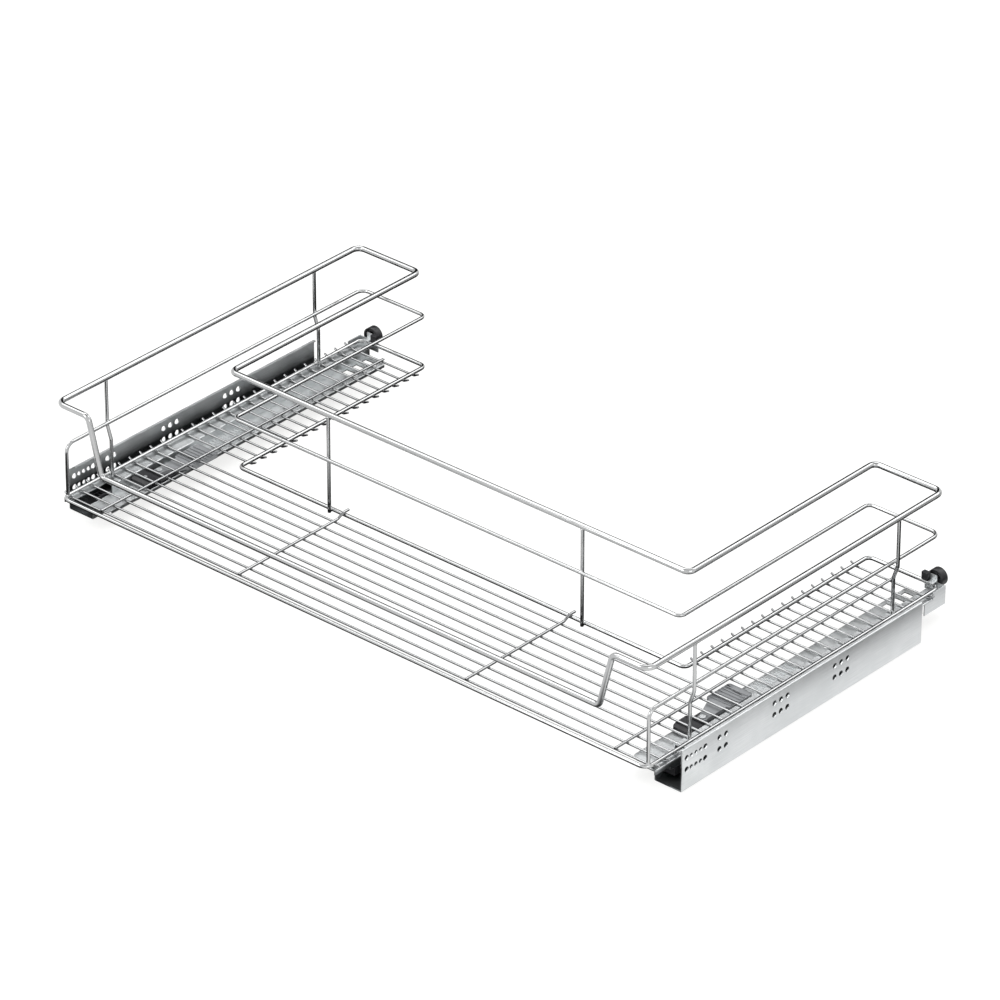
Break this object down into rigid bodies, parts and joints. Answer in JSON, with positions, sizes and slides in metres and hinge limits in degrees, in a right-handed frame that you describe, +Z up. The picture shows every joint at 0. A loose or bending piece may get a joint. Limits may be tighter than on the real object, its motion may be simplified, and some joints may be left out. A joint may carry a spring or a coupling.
{
  "type": "under-sink pull-out basket",
  "caption": "Pull-out wire basket for a sink cabinet, U-shaped round the drain, on full-extension roller slides that screw to the cabinet sides.",
  "frame": {"origin": "under the middle of the whole unit, level with the underside of the cabinet rails", "axes": "+X to the right across the cabinet as seen from its door, +Y towards the back of the cabinet, +Z up"},
  "size_m": [0.864, 0.4931, 0.1548],
  "materials": {
    "chrome_wire": "bright chrome plating on round steel wire",
    "galvanised_steel": "smooth galvanised sheet, satin",
    "plated_pin": "zinc-plated turned steel",
    "black_nylon": "moulded nylon, fine texture",
    "grey_nylon": "moulded nylon, fine texture",
    "white_nylon": "natural nylon, slightly glossy",
    "black_rubber": "matte rubber"
  },
  "bodies": {
    "cabinet_rails": {"cabinet_rail_left": "galvanised_steel", "cabinet_rail_right": "galvanised_steel", "closing_buffer_left": "black_rubber", "closing_buffer_right": "black_rubber"},
    "basket": {"floor_frame": "chrome_wire", "middle_rail": "chrome_wire", "top_rail": "chrome_wire", "front_floor_wires": "chrome_wire", "left_floor_wires": "chrome_wire", "right_floor_wires": "chrome_wire", "front_support_wires": "chrome_wire", "arm_support_wires": "chrome_wire", "front_posts": "chrome_wire", "rear_posts": "chrome_wire", "inner_posts": "chrome_wire", "drawer_member_left": "galvanised_steel", "drawer_member_right": "galvanised_steel", "rear_hook_left": "galvanised_steel", "rear_hook_right": "galvanised_steel", "hook_cap_left": "black_nylon", "hook_cap_right": "black_nylon", "clip_housing_left": "black_nylon", "clip_housing_right": "black_nylon", "clip_pins_left": "plated_pin", "clip_pins_right": "plated_pin"},
    "middle_left": {"intermediate_rail_left": "galvanised_steel", "rail_guide_left": "black_nylon"},
    "lower_cage_left": {"lower_cage_left": "white_nylon", "lower_rollers_left": "white_nylon"},
    "upper_cage_left": {"upper_cage_left": "white_nylon", "upper_rollers_left": "white_nylon"},
    "lever_left": {"release_lever_left": "grey_nylon"},
    "height_wheel_left": {"height_wheel_left": "grey_nylon"},
    "tilt_knob_left": {"tilt_knob_left": "black_nylon"},
    "middle_right": {"intermediate_rail_right": "galvanised_steel", "rail_guide_right": "black_nylon"},
    "lower_cage_right": {"lower_cage_right": "white_nylon", "lower_rollers_right": "white_nylon"},
    "upper_cage_right": {"upper_cage_right": "white_nylon", "upper_rollers_right": "white_nylon"},
    "lever_right": {"release_lever_right": "grey_nylon"},
    "height_wheel_right": {"height_wheel_right": "grey_nylon"},
    "tilt_knob_right": {"tilt_knob_right": "black_nylon"}
  },
  "joints": [
    {"name": "basket_slide", "type": "slide", "parent": "cabinet_rails", "child": "basket", "axis": [0, -1, 0], "range_m": [0, 0.39]},
    {"name": "middle_slide_left", "type": "slide", "parent": "cabinet_rails", "child": "middle_left", "axis": [0, -1, 0], "range_m": [0, 0.195]},
    {"name": "lower_cage_slide_left", "type": "slide", "parent": "cabinet_rails", "child": "lower_cage_left", "axis": [0, -1, 0], "range_m": [0, 0.0975]},
    {"name": "upper_cage_slide_left", "type": "slide", "parent": "cabinet_rails", "child": "upper_cage_left", "axis": [0, -1, 0], "range_m": [0, 0.2925]},
    {"name": "lever_hinge_left", "type": "hinge", "parent": "basket", "child": "lever_left", "pos_m": [-0.3836, -0.1213, 0.0255], "axis": [0, 0, 1], "range_deg": [-8, 0]},
    {"name": "height_wheel_hinge_left", "type": "hinge", "parent": "basket", "child": "height_wheel_left", "pos_m": [-0.3836, -0.1423, 0.0255], "axis": [0, 0, 1], "range_deg": [-180, 180]},
    {"name": "tilt_knob_hinge_left", "type": "hinge", "parent": "basket", "child": "tilt_knob_left", "pos_m": [-0.401, 0.2417, 0.0391], "axis": [0, 1, 0], "range_deg": [-180, 180]},
    {"name": "middle_slide_right", "type": "slide", "parent": "cabinet_rails", "child": "middle_right", "axis": [0, -1, 0], "range_m": [0, 0.195]},
    {"name": "lower_cage_slide_right", "type": "slide", "parent": "cabinet_rails", "child": "lower_cage_right", "axis": [0, -1, 0], "range_m": [0, 0.0975]},
    {"name": "upper_cage_slide_right", "type": "slide", "parent": "cabinet_rails", "child": "upper_cage_right", "axis": [0, -1, 0], "range_m": [0, 0.2925]},
    {"name": "lever_hinge_right", "type": "hinge", "parent": "basket", "child": "lever_right", "pos_m": [0.3836, -0.1213, 0.0255], "axis": [0, 0, 1], "range_deg": [0, 8]},
    {"name": "height_wheel_hinge_right", "type": "hinge", "parent": "basket", "child": "height_wheel_right", "pos_m": [0.3836, -0.1423, 0.0255], "axis": [0, 0, 1], "range_deg": [-180, 180]},
    {"name": "tilt_knob_hinge_right", "type": "hinge", "parent": "basket", "child": "tilt_knob_right", "pos_m": [0.401, 0.2417, 0.0391], "axis": [0, 1, 0], "range_deg": [-180, 180]}
  ],
  "couplings": [
    {"joint": "middle_slide_left", "follows": "basket_slide", "ratio": 0.5},
    {"joint": "lower_cage_slide_left", "follows": "basket_slide", "ratio": 0.25},
    {"joint": "upper_cage_slide_left", "follows": "basket_slide", "ratio": 0.75},
    {"joint": "middle_slide_right", "follows": "basket_slide", "ratio": 0.5},
    {"joint": "lower_cage_slide_right", "follows": "basket_slide", "ratio": 0.25},
    {"joint": "upper_cage_slide_right", "follows": "basket_slide", "ratio": 0.75}
  ]
}
